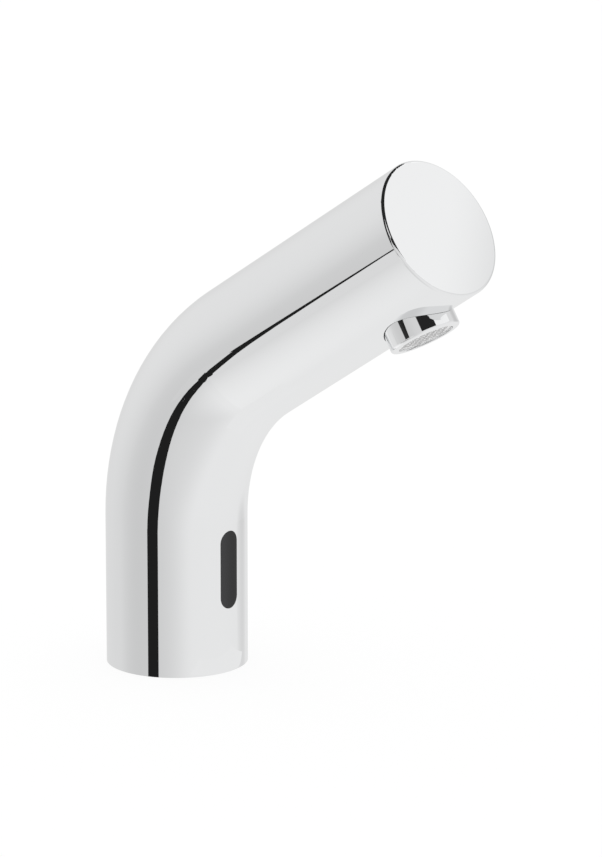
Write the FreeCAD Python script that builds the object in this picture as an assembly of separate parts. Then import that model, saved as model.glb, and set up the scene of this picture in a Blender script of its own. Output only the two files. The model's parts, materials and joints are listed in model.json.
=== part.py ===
"""Deck-mounted sensor tap: a 50 mm chrome tube that stands up, bends forward and ends in a flat disc.

Millimetres. +Z is up, the spout points along -Y, and the origin is the centre of the base on the deck.
Water path: inlet thread, strainer, check valve, diaphragm valve, spout tube, outlet socket, aerator.
"""
import FreeCAD
import Part
import math
import os

V = FreeCAD.Vector
X_AXIS = V(1, 0, 0)
Y_AXIS = V(0, 1, 0)
Z_AXIS = V(0, 0, 1)

# ---- body tube ----
body_diameter = 50.0
body_wall = 2.5
upright_height = 53.2        # straight part, from the deck to the start of the bend
bend_radius = 75.0           # of the tube's centre line
arm_rise = 32.6              # degrees above the horizontal
arm_length = 100.5           # from the end of the bend to the flat face

# ---- end cap ----
cap_edge_round = 1.0         # quarter round between the flat face and the tube
cap_rim = 0.9                # rim inside the round that bears on the tube's end
cap_spigot = 5.0
cap_spigot_wall = 2.2
cap_plate = 2.9              # thickness of the disc
cap_fit = 0.15
cap_oring_section = 1.6
cap_oring_squeeze = 0.05
cap_groove_play = 0.3

# ---- sensor window ----
window_width = 8.5
window_height = 28.0
window_centre = 36.9         # above the deck
window_gap = 0.08
window_recess = 0.08
window_flange_side = 2.0     # how far the flange reaches past the lens all round
window_flange = 1.5
gasket_gap = 0.15
gasket_contact = 0.03        # left between the gasket and the curved bore
gasket_thickness = 2.0       # at the middle of the window

# ---- sensor module ----
module_side = 1.25           # how far the module reaches past the window's flange on each side
module_wall = 1.2
module_depth = 7.5
board_thickness = 1.2
board_margin = 0.4
chip_width = 4.4
chip_length = 3.2
chip_height = 1.0
chip_margin = 0.6
eye_radius = 2.3
eye_gap = 0.9                # between an eye's tip and the window
eye_spacing = 14.0
eye_flange = 0.9
eye_rim = 0.4
clip_width = 6.0
clip_thickness = 0.4
clip_contact = 0.05
clip_spread = 1.5            # half the clip's height for each millimetre of its bow
clip_inset = 1.0             # from the module's lower end up to the clip

# ---- aerator ----
aerator_setback = 25.4       # from the flat face back to the aerator's axis
collar_diameter = 25.0
collar_bottom = 29.3         # from the arm's axis to the lowest face of the collar
collar_round = 0.9
collar_length = 9.8
collar_gap = 0.25
aerator_step = 0.75          # from the collar in to the thread
aerator_pitch = 1.0
aerator_turns = 6            # turns of thread in the socket
aerator_run_out = 0.3        # plain length under the thread
thread_play = 0.05           # radial play of every screwed pair
aerator_wall = 1.25
aerator_lip = 1.6
aerator_lip_reach = 0.7
insert_play = 0.1
insert_recess = 0.7          # outlet grid above the collar's lowest face
grid_thickness = 2.4
grid_web = 0.42
grid_margin = 0.55           # solid edge round the honeycomb
grid_rings = 3
insert_skirt = 1.2
insert_length = 9.6
jet_plate = 1.6
jet_hole = 0.55
jet_rings = 2
jet_ring_step = 3.2
jets_per_ring = 8            # on the inner ring, and as many more on each next one
screen_rim = 1.4
screen_wire = 0.35
screen_pitch = 1.75
screen_thickness = 0.7
screen_bar_root = 0.3        # how far the bars run into the rim
aerator_washer_thickness = 1.2
aerator_washer_width = 2.4
aerator_washer_gap = 0.15

# ---- outlet socket inside the arm ----
socket_wall = 2.9
socket_roof = 3.0
chamber_radius = 8.8
chamber_height = 9.0

# ---- spout tube ----
tube_diameter = 8.0
tube_bore = 6.0
tube_play = 0.1
tube_inserted_top = 5.0
tube_inserted_valve = 8.4
tube_oring_section = 1.0
tube_oring_play = 0.05
tube_groove_play = 0.4       # groove wider than the O-ring
tube_knee_height = 78.0      # above the deck
tube_axis_drop = 6.8         # below the arm's axis at the outlet socket
tube_run_to_knee = 65.0
tube_bend_share = 0.45       # share of the shorter run that a bend takes up

# ---- base block and threaded shank ----
base_fit = 0.15
base_gasket = 1.5
base_block_height = 18.0
shank_engagement = 5.0       # length of thread inside the block
shank_inset = 8.5            # from the body's outside in to the shank's thread
shank_wall = 3.0
shank_end = 1.5              # thread left under the nut at its lowest
gasket_inner_gap = 0.5
gasket_outer_gap = 0.15
inlet_thread = 9.0           # tapping size of the supply hose's thread
inlet_thread_length = 8.0
strainer_bore = 10.0
lead_hole = 5.6
gland_flange = 1.0
gland_flange_side = 1.0
gland_gap = 0.3
gland_bore = 3.8
gland_play = 0.05
lock_screw_diameter = 5.0
lock_screw_length = 5.2
lock_screw_height = 8.0
lock_screw_recess = 0.8
lock_screw_socket = 2.5

# ---- fixing set under the deck ----
deck_gap = 25.0              # deck thickness that the rest position leaves room for
fixing_washer_diameter = 49.0
fixing_rubber = 3.0
fixing_steel = 2.0
fixing_washer_play = 0.4
nut_wall = 4.0               # from the thread out to the flats
nut_height = 10.0
nut_chamfer_slope = 0.55
nut_pitch = 1.5
nut_turns_down = 7           # from the rest position to the lowest

# ---- solenoid valve, on a vertical axis behind the sensor ----
valve_wall_gap = 4.5         # between the valve and the body's bore, at the back
valve_step = 1.7             # from the wide foot in to the threaded neck
valve_foot_height = 19.5     # wide part above the base block
neck_wall = 2.3
neck_height = 7.0
seat_bore = 6.4
seat_land = 1.6
annulus_width = 3.2
annulus_depth = 4.5
check_bore = 10.0
check_headroom = 0.4         # above the check valve's stem when it is open
inlet_drill = 2.8
outlet_drill = 5.2
passage_wall = 1.0           # least wall between two passages
riser_gap = 0.8              # between the riser and the body's bore
riser_forward = 7.0
riser_wall = 0.5             # outside the O-ring's groove
face_oring_section = 1.5
face_groove_play = 0.3
face_oring_land = 0.8        # between the strainer's bore and the groove
valve_screw_diameter = 3.0
valve_screw_side = 9.5
valve_screw_back = 3.5
valve_screw_depth = 6.0
valve_screw_head = 5.5
valve_screw_head_height = 3.0
screw_play = 0.1

# ---- check valve cartridge and strainer ----
cage_play = 0.05
cage_wall = 0.65
cage_length = 8.0
cage_floor = 1.5
cage_hole = 5.6
poppet_overlap = 0.9         # of the poppet on its seat
cage_bridge = 1.0
cage_bridge_side = 0.8       # material on each side of the stem's hole
poppet_thickness = 1.2
poppet_stem = 1.6
poppet_stem_proud = 0.3      # above the bridge when closed
poppet_travel = 1.8
stem_play = 0.1
check_spring_gap = 0.85      # between the stem and the wire
check_spring_wire = 0.5
check_spring_turns = 3
strainer_rim = 0.8
strainer_shoulder_gap = 0.2  # under the cone's tip
strainer_wall = 0.5
strainer_slots = 8
strainer_slot = 1.1

# ---- diaphragm, bonnet, plunger and coil ----
membrane_thickness = 1.2
membrane_edge_gap = 0.1      # inside the neck's outer edge
hub_gap = 0.35               # between the hub and the seat's bore
hub_play = 0.05
hub_drop = 1.0
insert_plate_overlap = 0.7   # of the plate past the seat's land
insert_plate = 1.2
pilot_hole = 1.2
diaphragm_lift = 1.5
diaphragm_headroom = 0.3     # above the insert when it is lifted
bonnet_skirt_gap = 0.2
bonnet_roof = 2.5
bonnet_chamfer = 2.5
plunger_diameter = 8.0
plunger_play = 0.1
plunger_length = 16.0
plunger_lift = 2.0
plunger_air_gap = 0.5        # left between plunger and pole when fully lifted
plunger_seal_diameter = 3.6
plunger_seal_proud = 0.6
plunger_seal_depth = 1.4
plunger_spring_pocket = 5.2
plunger_spring_pocket_depth = 4.0
plunger_spring_wire = 0.6
plunger_spring_play = 0.25
plunger_spring_turns = 4
guide_wall = 0.6
guide_flange_reach = 2.1
guide_flange = 0.8
pole_recess = 0.2            # below the top of the guide tube
pole_play = 0.05
plunger_flute = 0.5
bobbin_play = 0.1
bobbin_length = 16.8
bobbin_flange = 1.2
bobbin_wall = 1.0
winding_depth = 3.35
winding_cover = 0.5          # how far the flanges reach past the winding
winding_play = 0.05
yoke_plate = 1.2
yoke_width = 14.0
yoke_reach = 8.0
yoke_gap = 0.3
coil_nut_across = 13.0
coil_nut_height = 2.5
terminal_width = 9.0
terminal_height = 5.5
terminal_reach = 3.0
lead_diameter = 2.0
lead_play = 0.1
lead_side = 2.5
lead_bend = 3.0

# ---- worked out from the sizes above ----
body_radius = body_diameter / 2
bore_radius = body_radius - body_wall
bend_angle = 90.0 - arm_rise
bend_sin = math.sin(math.radians(bend_angle))
bend_cos = math.cos(math.radians(bend_angle))
arm_direction = V(0, -bend_sin, bend_cos)
under_direction = V(0, -bend_cos, -bend_sin)
bend_end = V(0, -bend_radius * (1 - bend_cos), upright_height + bend_radius * bend_sin)
face_centre = bend_end + arm_direction * arm_length
outlet_centre = face_centre - arm_direction * aerator_setback
arm_frame = FreeCAD.Placement(face_centre, FreeCAD.Rotation(X_AXIS, bend_angle))
outlet_frame = FreeCAD.Placement(outlet_centre, FreeCAD.Rotation(X_AXIS, 90 + bend_angle))

cap_rim_depth = -cap_edge_round - cap_rim
cap_oring_depth = cap_rim_depth - cap_spigot / 2

collar_radius = collar_diameter / 2
collar_top = collar_bottom - collar_length
aerator_thread_radius = collar_radius - aerator_step
aerator_bore = aerator_thread_radius - aerator_wall
aerator_lip_bore = aerator_bore - aerator_lip_reach
thread_top = collar_top - aerator_pitch * aerator_turns - aerator_run_out
seat_plane = thread_top - aerator_washer_thickness
socket_bore = aerator_thread_radius + thread_play
socket_radius = collar_radius + socket_wall
chamber_top = seat_plane - chamber_height
insert_radius = aerator_bore - insert_play
insert_nose_radius = aerator_lip_bore - insert_play
insert_top_height = collar_bottom - aerator_lip - insert_length
hexagon_corner = 1 / math.sqrt(3)
grid_step = (insert_nose_radius - grid_margin + grid_web * hexagon_corner) / (grid_rings + hexagon_corner)
grid_cell = grid_step - grid_web

tube_radius = tube_diameter / 2
tube_oring_radius = tube_radius + tube_oring_section / 2 + tube_oring_play
tube_groove_radius = tube_radius + tube_oring_section + 2 * tube_oring_play
tube_groove_width = tube_oring_section + tube_groove_play
tube_oring_depth = tube_inserted_top / 2

block_bottom = base_gasket
recess_top = block_bottom + shank_engagement
block_top = block_bottom + base_block_height
inlet_thread_top = recess_top + inlet_thread_length
block_radius = bore_radius - base_fit
shank_radius = body_radius - shank_inset
rubber_bottom = -deck_gap - fixing_rubber
steel_bottom = rubber_bottom - fixing_steel
nut_bottom = steel_bottom - nut_height
nut_across_flats = 2 * (shank_radius + nut_wall)
shank_bottom = nut_bottom - nut_pitch * nut_turns_down - shank_end

seat_ring = seat_bore + 2 * seat_land
annulus_diameter = seat_ring + 2 * annulus_width
annulus_middle = (annulus_diameter + seat_ring) / 4
neck_diameter = annulus_diameter + 2 * neck_wall
valve_diameter = neck_diameter + 2 * valve_step
valve_back = bore_radius - valve_wall_gap - valve_diameter / 2
valve_axis = V(0, valve_back, 0)
riser_radius = tube_groove_radius + riser_wall
riser_side = math.sqrt((bore_radius - riser_gap - riser_radius) ** 2 - riser_forward ** 2)
riser_axis = V(riser_side, -riser_forward, 0)
gland_back = valve_back - valve_diameter / 2 - gland_gap
gland_place = V(0, gland_back - lead_hole / 2 - gland_flange_side, 0)
valve_shoulder = block_top + valve_foot_height
seat_height = valve_shoulder + neck_height
riser_oring_height = seat_height - tube_inserted_valve / 3
face_groove_width = face_oring_section + face_groove_play
face_oring_radius = strainer_bore / 2 + face_oring_land + face_groove_width / 2

poppet_diameter = cage_hole + 2 * poppet_overlap
check_seat = block_top + cage_floor
cage_top = block_top + cage_length
check_stem_top = cage_top + poppet_stem_proud
check_chamber_top = check_stem_top + poppet_travel + check_headroom
inlet_drill_height = check_chamber_top - inlet_drill / 2
outlet_drill_height = check_chamber_top + passage_wall + outlet_drill / 2
bridge_bottom = outlet_drill_height - outlet_drill / 2 - passage_wall
bridge_top = outlet_drill_height + outlet_drill / 2 + passage_wall
bridge_width = outlet_drill + 2 * passage_wall

membrane_top = seat_height + membrane_thickness
insert_top = membrane_top + insert_plate
chamber_roof = insert_top + diaphragm_lift + diaphragm_headroom + guide_flange
bonnet_top = chamber_roof + bonnet_roof
plunger_bottom = insert_top + plunger_seal_proud
plunger_top = plunger_bottom + plunger_length
pocket_floor = plunger_top - plunger_spring_pocket_depth
pole_bottom = plunger_top + plunger_lift + plunger_air_gap
guide_radius = plunger_diameter / 2 + plunger_play
guide_outer = guide_radius + guide_wall
bobbin_bore = guide_outer + bobbin_play
bobbin_core = bobbin_bore + bobbin_wall
winding_inner = bobbin_core + winding_play
winding_outer = winding_inner + winding_depth
bobbin_radius = winding_outer + winding_cover
bobbin_bottom = bonnet_top + yoke_plate
bobbin_top = bobbin_bottom + bobbin_length
coil_nut_bottom = bobbin_top + yoke_plate
guide_top = coil_nut_bottom + coil_nut_height
terminal_front = valve_back - bobbin_radius - terminal_reach

gasket_back = bore_radius - gasket_thickness
module_front = gasket_back - window_flange
module_back = module_front - module_depth - module_wall
board_back = module_back + module_wall
board_front = board_back + board_thickness
window_flange_width = window_width + 2 * window_flange_side
window_flange_height = window_height + 2 * window_flange_side
module_half_width = window_flange_width / 2 + module_side
module_low = window_centre - window_flange_height / 2
module_high = window_centre + window_flange_height / 2
eye_length = module_front - eye_gap - board_front
lead_forward = (module_front + module_back) / 2
facing_forward = FreeCAD.Rotation(X_AXIS, 90)


# ---- helpers ----
def cylinder(radius, z_low, z_high, axis=V(0, 0, 0)):
    """An upright cylinder between two heights, on a vertical axis."""
    return Part.makeCylinder(radius, z_high - z_low, V(axis.x, axis.y, z_low))


def ring(inner, outer, z_low, z_high, axis=V(0, 0, 0)):
    """A flat or tall ring between two heights."""
    overrun = 1.0
    solid = cylinder(outer, z_low, z_high, axis)
    return solid.cut(cylinder(inner, z_low - overrun, z_high + overrun, axis))


def revolved(profile, axis=V(0, 0, 0)):
    """A closed profile of (radius, height) points turned about a vertical axis."""
    points = [V(r, 0, z) for r, z in profile]
    face = Part.Face(Part.makePolygon(points + points[:1]))
    solid = face.revolve(V(0, 0, 0), Z_AXIS, 360)
    solid.translate(axis)
    return solid


def rounded_rim(solid, radius, height, fillet):
    """Rounds the circular edge of a turned solid at a radius and a height."""
    near = 1e-6
    rims = [
        edge for edge in solid.Edges
        if max(abs(edge.BoundBox.ZMin - height), abs(edge.BoundBox.ZMax - height)) < near
        and abs(edge.BoundBox.XMax - radius) < near
    ]
    return solid.makeFillet(fillet, rims)


def torus(section, ring_radius, centre, direction=Z_AXIS):
    """An O-ring of a given section diameter, its ring radius measured to the middle of the section."""
    return Part.makeTorus(ring_radius, section / 2, centre, direction)


def box(x_low, x_high, y_low, y_high, z_low, z_high):
    """A block between two corners."""
    return Part.makeBox(x_high - x_low, y_high - y_low, z_high - z_low, V(x_low, y_low, z_low))


def stadium(width, height, y_low, y_high, z_centre):
    """A block with half-round ends, standing on its end and running along Y."""
    r = width / 2
    top = z_centre + height / 2 - r
    bottom = z_centre - height / 2 + r
    edges = [
        Part.makeLine(V(r, y_low, bottom), V(r, y_low, top)),
        Part.Arc(V(r, y_low, top), V(0, y_low, top + r), V(-r, y_low, top)).toShape(),
        Part.makeLine(V(-r, y_low, top), V(-r, y_low, bottom)),
        Part.Arc(V(-r, y_low, bottom), V(0, y_low, bottom - r), V(r, y_low, bottom)).toShape(),
    ]
    return Part.Face(Part.Wire(edges)).extrude(V(0, y_high - y_low, 0))


def hexagon(across_flats, z_low, z_high, centre=V(0, 0, 0), turn=0.0):
    """An upright hexagonal prism."""
    r = across_flats * hexagon_corner
    angles = [math.radians(60 * i + turn) for i in range(7)]
    points = [V(centre.x + r * math.cos(a), centre.y + r * math.sin(a), z_low) for a in angles]
    return Part.Face(Part.makePolygon(points)).extrude(V(0, 0, z_high - z_low))


def tapped(solid, frame):
    """A solid built on its own axis, put in place by a frame."""
    placed = solid.copy()
    placed.Placement = frame
    return placed


def swept_tube(radius, z_start, end_extra):
    """The tap's bent centre line as a solid rod: upright, bend and arm."""
    upright = cylinder(radius, z_start, upright_height)
    disc = Part.Face(Part.Wire(Part.makeCircle(radius, V(0, 0, upright_height))))
    bend = disc.revolve(V(0, -bend_radius, upright_height), X_AXIS, bend_angle)
    arm = Part.makeCylinder(radius, arm_length + end_extra, bend_end, arm_direction)
    return upright.fuse([bend, arm])


def rounded_path(points, radii):
    """Straight runs through the points, with a tangent arc of the given radius at each inner point."""
    edges = []
    start = points[0]
    for before, corner, after, radius in zip(points, points[1:], points[2:], radii):
        d_in = (corner - before).normalize()
        d_out = (after - corner).normalize()
        turn = d_in.getAngle(d_out)
        cut_back = radius * math.tan(turn / 2)
        arc_start = corner - d_in * cut_back
        arc_end = corner + d_out * cut_back
        towards_centre = (d_out - d_in).normalize()
        bulge = radius / math.cos(turn / 2) - radius
        edges.append(Part.LineSegment(start, arc_start).toShape())
        edges.append(Part.Arc(arc_start, corner + towards_centre * bulge, arc_end).toShape())
        start = arc_end
    edges.append(Part.LineSegment(start, points[-1]).toShape())
    return Part.Wire(edges)


def rod_along(path, radius):
    """A round rod that follows a path."""
    first = path.Edges[0]
    start = first.valueAt(first.FirstParameter)
    heading = first.tangentAt(first.FirstParameter)
    profile = Part.Wire(Part.makeCircle(radius, start, heading))
    return path.makePipeShell([profile], True, False)


def arc_through(start, heading, end):
    """The arc that leaves start along heading and reaches end, and the heading that it arrives with."""
    chord = end - start
    along = V(chord).normalize()
    side = heading - along * heading.dot(along)
    angle = heading.getAngle(along)
    middle = start + chord * 0.5 + side.normalize() * (chord.Length / 2 * math.tan(angle / 2))
    arrival = along * (2 * heading.dot(along)) - heading
    return Part.Arc(start, middle, end).toShape(), arrival


def helix_path(radius, z_low, z_high, turns, centre):
    """A helix as two tangent arcs for each quarter turn, so that a wire swept on it stays smooth."""
    count = 4 * turns
    pitch_slope = (z_high - z_low) / (2 * math.pi * turns)

    def state(i):
        a = math.pi / 2 * i
        point = V(radius * math.cos(a), radius * math.sin(a), z_low + pitch_slope * a) + centre
        heading = V(-radius * math.sin(a), radius * math.cos(a), pitch_slope).normalize()
        return point, heading

    edges = []
    for i in range(count):
        (p, t), (q, u) = state(i), state(i + 1)
        chord = q - p
        both = t + u
        spread = 2 * (1 - t.dot(u))
        root = math.sqrt(chord.dot(both) ** 2 + spread * chord.dot(chord))
        reach = (root - chord.dot(both)) / spread
        joint = (p + t * reach + q - u * reach) * 0.5
        first, heading = arc_through(p, t, joint)
        second, _ = arc_through(joint, heading, q)
        edges += [first, second]
    return Part.Wire(edges)


def coil_spring(radius, wire, z_low, z_high, turns, centre):
    """A compression spring between two flat seats."""
    path = helix_path(radius, z_low + wire / 2, z_high - wire / 2, turns, centre)
    return rod_along(path, wire / 2)


# ---- body ----
def make_spout_body():
    """The bent shell with its cast outlet socket, window slot and lock screw hole."""
    outer = swept_tube(body_radius, 0.0, cap_rim_depth)
    bore = swept_tube(bore_radius, -1.0, 1.0)
    boss = tapped(cylinder(socket_radius, chamber_top - socket_roof, body_radius + 1), outlet_frame)
    shell = outer.cut(bore).fuse(boss.common(outer))
    cuts = [
        tapped(cylinder(collar_radius + collar_gap, collar_top - collar_gap, collar_bottom), outlet_frame),
        tapped(cylinder(socket_bore, seat_plane, collar_bottom), outlet_frame),
        tapped(cylinder(chamber_radius, chamber_top, seat_plane + 1), outlet_frame),
        stadium(window_width, window_height, -body_radius - 1, -bore_radius + 2, window_centre),
        radial_hole(lock_screw_diameter / 2 + screw_play, bore_radius - body_wall, lock_screw_height),
    ]
    return shell.cut(cuts + tube_port_cuts())


def tube_port_cuts():
    """The spout tube's port in the rear of the outlet socket: bore, O-ring groove and inner passage."""
    half_groove = tube_groove_width / 2
    bore = cylinder(tube_radius + tube_play, -socket_wall, tube_inserted_top)
    groove = cylinder(tube_groove_radius, tube_oring_depth - half_groove, tube_oring_depth + half_groove)
    passage = cylinder(tube_bore / 2, 0, socket_radius)
    return [tapped(cut, tube_port_frame()) for cut in (bore, groove, passage)]


def tube_port_frame():
    """Frame on the tube's axis at the socket's rear face, its Z pointing into the socket along the arm."""
    entry = outlet_centre - arm_direction * socket_radius + under_direction * tube_axis_drop
    return FreeCAD.Placement(entry, FreeCAD.Rotation(X_AXIS, bend_angle))


def make_end_cap():
    """The flat disc that closes the arm, with a spigot, a rim and an O-ring groove."""
    spigot_radius = bore_radius - cap_fit
    inner = spigot_radius - cap_spigot_wall
    back = cap_rim_depth - cap_spigot
    profile = [
        (0, 0), (body_radius, 0), (body_radius, cap_rim_depth), (spigot_radius, cap_rim_depth),
        (spigot_radius, back), (inner, back), (inner, -cap_plate), (0, -cap_plate),
    ]
    cap = revolved(profile)
    half_groove = (cap_oring_section + cap_groove_play) / 2
    low = cap_oring_depth - half_groove
    high = cap_oring_depth + half_groove
    groove = ring(bore_radius - cap_oring_section, body_radius, low, high)
    cap = rounded_rim(cap, body_radius, 0, cap_edge_round)
    return tapped(cap.cut(groove), arm_frame)


def make_end_cap_oring():
    """Seal between the cap's spigot and the arm's bore."""
    radius = bore_radius - cap_oring_section / 2
    solid = torus(cap_oring_section - cap_oring_squeeze, radius, V(0, 0, cap_oring_depth))
    return tapped(solid, arm_frame)


# ---- sensor ----
def make_sensor_window():
    """The dark lens, curved with the tube in front, with a flat flange behind."""
    lens = stadium(
        window_width - 2 * window_gap, window_height - 2 * window_gap,
        -body_radius - 1, -gasket_back, window_centre,
    ).common(cylinder(body_radius - window_recess, 0, upright_height))
    flange = stadium(window_flange_width, window_flange_height, -gasket_back, -module_front, window_centre)
    return lens.fuse(flange)


def make_window_gasket():
    """Silicone ring between the window's flange and the curved bore."""
    outer = stadium(window_flange_width, window_flange_height, -bore_radius, -gasket_back, window_centre)
    hole = stadium(
        window_width + 2 * gasket_gap, window_height + 2 * gasket_gap,
        -bore_radius - 1, -gasket_back + 1, window_centre,
    )
    return outer.cut(hole).common(cylinder(bore_radius - gasket_contact, 0, upright_height))


def make_sensor_housing():
    """The module's box: front plate with the window opening, side walls and a light barrier."""
    inside = module_half_width - module_wall
    room_low = module_low + module_wall
    room_high = module_high - module_wall
    plate_back = -module_front + module_wall
    shell = box(-module_half_width, module_half_width, -module_front, -board_back, module_low, module_high)
    room = box(-inside, inside, plate_back, 0, room_low, room_high)
    opening = stadium(window_width, window_height, -module_front - 1, plate_back + 1, window_centre)
    barrier = box(
        -inside, inside, -module_front, -board_front - board_margin,
        window_centre - module_wall / 2, window_centre + module_wall / 2,
    )
    lead_place = V(-lead_side, -lead_forward, 0)
    lead_exit = cylinder(lead_diameter / 2 + lead_play, room_high - 1, module_high + 1, lead_place)
    return shell.cut([room, opening, lead_exit]).fuse(barrier)


def make_sensor_back_cover():
    """The plate that closes the module from behind."""
    return box(-module_half_width, module_half_width, -board_back, -module_back, module_low, module_high)


def make_sensor_board():
    """Circuit board that lies on the back cover, with its control chip."""
    half = module_half_width - module_wall - board_margin
    low = module_low + module_wall + board_margin
    high = module_high - module_wall - board_margin
    board = box(-half, half, -board_front, -board_back, low, high)
    chip_low = low + chip_margin
    chip_front = -board_front - chip_height
    chip = box(-chip_width / 2, chip_width / 2, chip_front, -board_front, chip_low, chip_low + chip_length)
    return board.fuse(chip)


def make_eye(height):
    """An infrared diode with a domed nose, on the board and looking out through the window."""
    barrel = cylinder(eye_radius, 0, eye_length - eye_radius)
    nose = Part.makeSphere(eye_radius, V(0, 0, eye_length - eye_radius))
    base = cylinder(eye_radius + eye_rim, 0, eye_flange)
    return tapped(barrel.fuse([nose, base]), FreeCAD.Placement(V(0, -board_front, height), facing_forward))


def make_sensor_clip():
    """Bowed leaf spring between the valve and the module, which keeps the window pressed into its slot."""
    low_y = -module_back + clip_contact
    high_y = valve_back - valve_diameter / 2 - clip_contact
    reach = clip_spread * (high_y - clip_thickness - low_y)
    middle = module_low + clip_inset + reach

    def bow(offset):
        ends = low_y + offset
        crown = high_y - clip_thickness + offset
        return V(0, ends, middle - reach), V(0, crown, middle), V(0, ends, middle + reach)

    front = bow(0.0)
    rear = bow(clip_thickness)
    edges = [
        Part.Arc(*front).toShape(),
        Part.makeLine(front[2], rear[2]),
        Part.Arc(*rear).toShape(),
        Part.makeLine(rear[0], front[0]),
    ]
    leaf = Part.Face(Part.Wire(Part.__sortEdges__(edges))).extrude(V(clip_width, 0, 0))
    leaf.translate(V(-clip_width / 2, 0, 0))
    return leaf


def make_coil_lead():
    """Two-core lead from the module's top to the coil's terminal block."""
    end_z = bobbin_top - terminal_height / 2
    points = [
        V(-lead_side, -lead_forward, module_high - module_wall),
        V(-lead_side, -lead_forward, end_z),
        V(-lead_side, terminal_front, end_z),
    ]
    return rod_along(rounded_path(points, [lead_bend]), lead_diameter / 2)


# ---- aerator ----
def make_aerator_housing():
    """The chrome collar with its screw thread above and an inward lip below."""
    ledge = collar_bottom - aerator_lip
    profile = [
        (aerator_bore, thread_top), (aerator_thread_radius, thread_top), (aerator_thread_radius, collar_top),
        (collar_radius, collar_top), (collar_radius, collar_bottom),
        (aerator_lip_bore, collar_bottom), (aerator_lip_bore, ledge), (aerator_bore, ledge),
    ]
    housing = rounded_rim(revolved(profile), collar_radius, collar_bottom, collar_round)
    return tapped(housing, outlet_frame)


def honeycomb_centres():
    """Centres of the honeycomb's holes, ring by ring."""
    steps = range(-grid_rings, grid_rings + 1)
    row_step = grid_step * math.sin(math.radians(60))
    cells = [(i, j) for i in steps for j in steps if abs(i + j) <= grid_rings]
    return [V(grid_step * (i + j / 2), row_step * j, 0) for i, j in cells]


def make_aerator_insert():
    """The jet regulator: a cup with a jet plate on top and a honeycomb outlet below."""
    top = insert_top_height
    face = collar_bottom - insert_recess
    grid_top = face - grid_thickness
    ledge = collar_bottom - aerator_lip
    inside = insert_radius - insert_skirt
    outline = [
        (0, top), (insert_radius, top), (insert_radius, ledge),
        (insert_nose_radius, ledge), (insert_nose_radius, face), (0, face),
    ]
    room = cylinder(inside, top + jet_plate, grid_top)
    grid = [hexagon(grid_cell, grid_top - 1, face + 1, centre, 30) for centre in honeycomb_centres()]
    jets = [cylinder(jet_hole, top - 1, top + jet_plate + 1, place) for place in jet_places()]
    cup = revolved(outline).cut(room).cut(Part.makeCompound(grid)).cut(Part.makeCompound(jets))
    return tapped(cup, outlet_frame)


def jet_places():
    """Axes of the jet holes, on two rings."""
    places = []
    for ring_number in range(1, jet_rings + 1):
        count = jets_per_ring * ring_number
        spoke = V(jet_ring_step * ring_number, 0, 0)
        places += [FreeCAD.Rotation(Z_AXIS, 360 * i / count).multVec(spoke) for i in range(count)]
    return places


def make_aerator_screen():
    """Flat strainer on top of the regulator: a rim with crossed bars."""
    low = insert_top_height
    top = low - screen_thickness
    inner = insert_radius - screen_rim
    reach = inner + screen_bar_root
    count = int(inner / screen_pitch)
    half = screen_wire / 2
    disc = cylinder(reach, top, low)
    bars = []
    for i in range(-count, count + 1):
        middle = i * screen_pitch
        bars.append(box(middle - half, middle + half, -reach, reach, top, low).common(disc))
        bars.append(box(-reach, reach, middle - half, middle + half, top, low).common(disc))
    screen = ring(inner, insert_radius, top, low).fuse(bars).removeSplitter()
    return tapped(screen, outlet_frame)


def make_aerator_washer():
    """Flat seal between the aerator and the socket's shoulder."""
    outer = socket_bore - aerator_washer_gap
    return tapped(ring(outer - aerator_washer_width, outer, seat_plane, thread_top), outlet_frame)


# ---- spout tube ----
def tube_points():
    """Corners of the spout tube's route, from the valve's riser to the outlet socket."""
    end = tube_port_frame().multVec(V(0, 0, tube_inserted_top))
    return [
        V(riser_side, -riser_forward, seat_height - tube_inserted_valve),
        V(riser_side, -riser_forward, tube_knee_height),
        end - arm_direction * tube_run_to_knee,
        end,
    ]


def make_spout_tube():
    """Plastic water tube with straight ends and two smooth bends."""
    points = tube_points()
    radii = []
    for before, corner, after in zip(points, points[1:], points[2:]):
        turn = (corner - before).getAngle(after - corner)
        shorter = min((corner - before).Length, (after - corner).Length)
        radii.append(tube_bend_share * shorter / math.tan(turn / 2))
    path = rounded_path(points, radii)
    return rod_along(path, tube_radius).cut(rod_along(path, tube_bore / 2))


def make_tube_orings():
    """The tube's two O-rings, one at each end."""
    upper = tapped(torus(tube_oring_section, tube_oring_radius, V(0, 0, tube_oring_depth)), tube_port_frame())
    lower = torus(tube_oring_section, tube_oring_radius, riser_axis + V(0, 0, riser_oring_height))
    return Part.makeCompound([upper, lower])


# ---- base ----
def make_base_block():
    """Brass block in the foot: inlet thread, lead hole, screw holes and a recess for the shank."""
    block = cylinder(block_radius, block_bottom, block_top)
    groove_inner = face_oring_radius - face_groove_width / 2
    groove_outer = face_oring_radius + face_groove_width / 2
    lock_hole_depth = lock_screw_length + lock_screw_recess + screw_play
    cuts = [
        cylinder(shank_radius + thread_play, block_bottom - 1, recess_top),
        cylinder(inlet_thread / 2, recess_top - 1, inlet_thread_top, valve_axis),
        cylinder(strainer_bore / 2, inlet_thread_top, block_top + 1, valve_axis),
        ring(groove_inner, groove_outer, block_top - face_oring_section, block_top + 1, valve_axis),
        cylinder(lead_hole / 2, recess_top - 1, block_top + 1, gland_place),
        radial_hole(lock_screw_diameter / 2 + screw_play, body_radius - lock_hole_depth, lock_screw_height),
    ]
    for place in valve_screw_places():
        head_top = recess_top + valve_screw_head_height
        head = cylinder(valve_screw_head / 2 + screw_play, recess_top - 1, head_top, place)
        cuts += [head, cylinder(valve_screw_diameter / 2 + screw_play, recess_top - 1, block_top + 1, place)]
    return block.cut(cuts)


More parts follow.
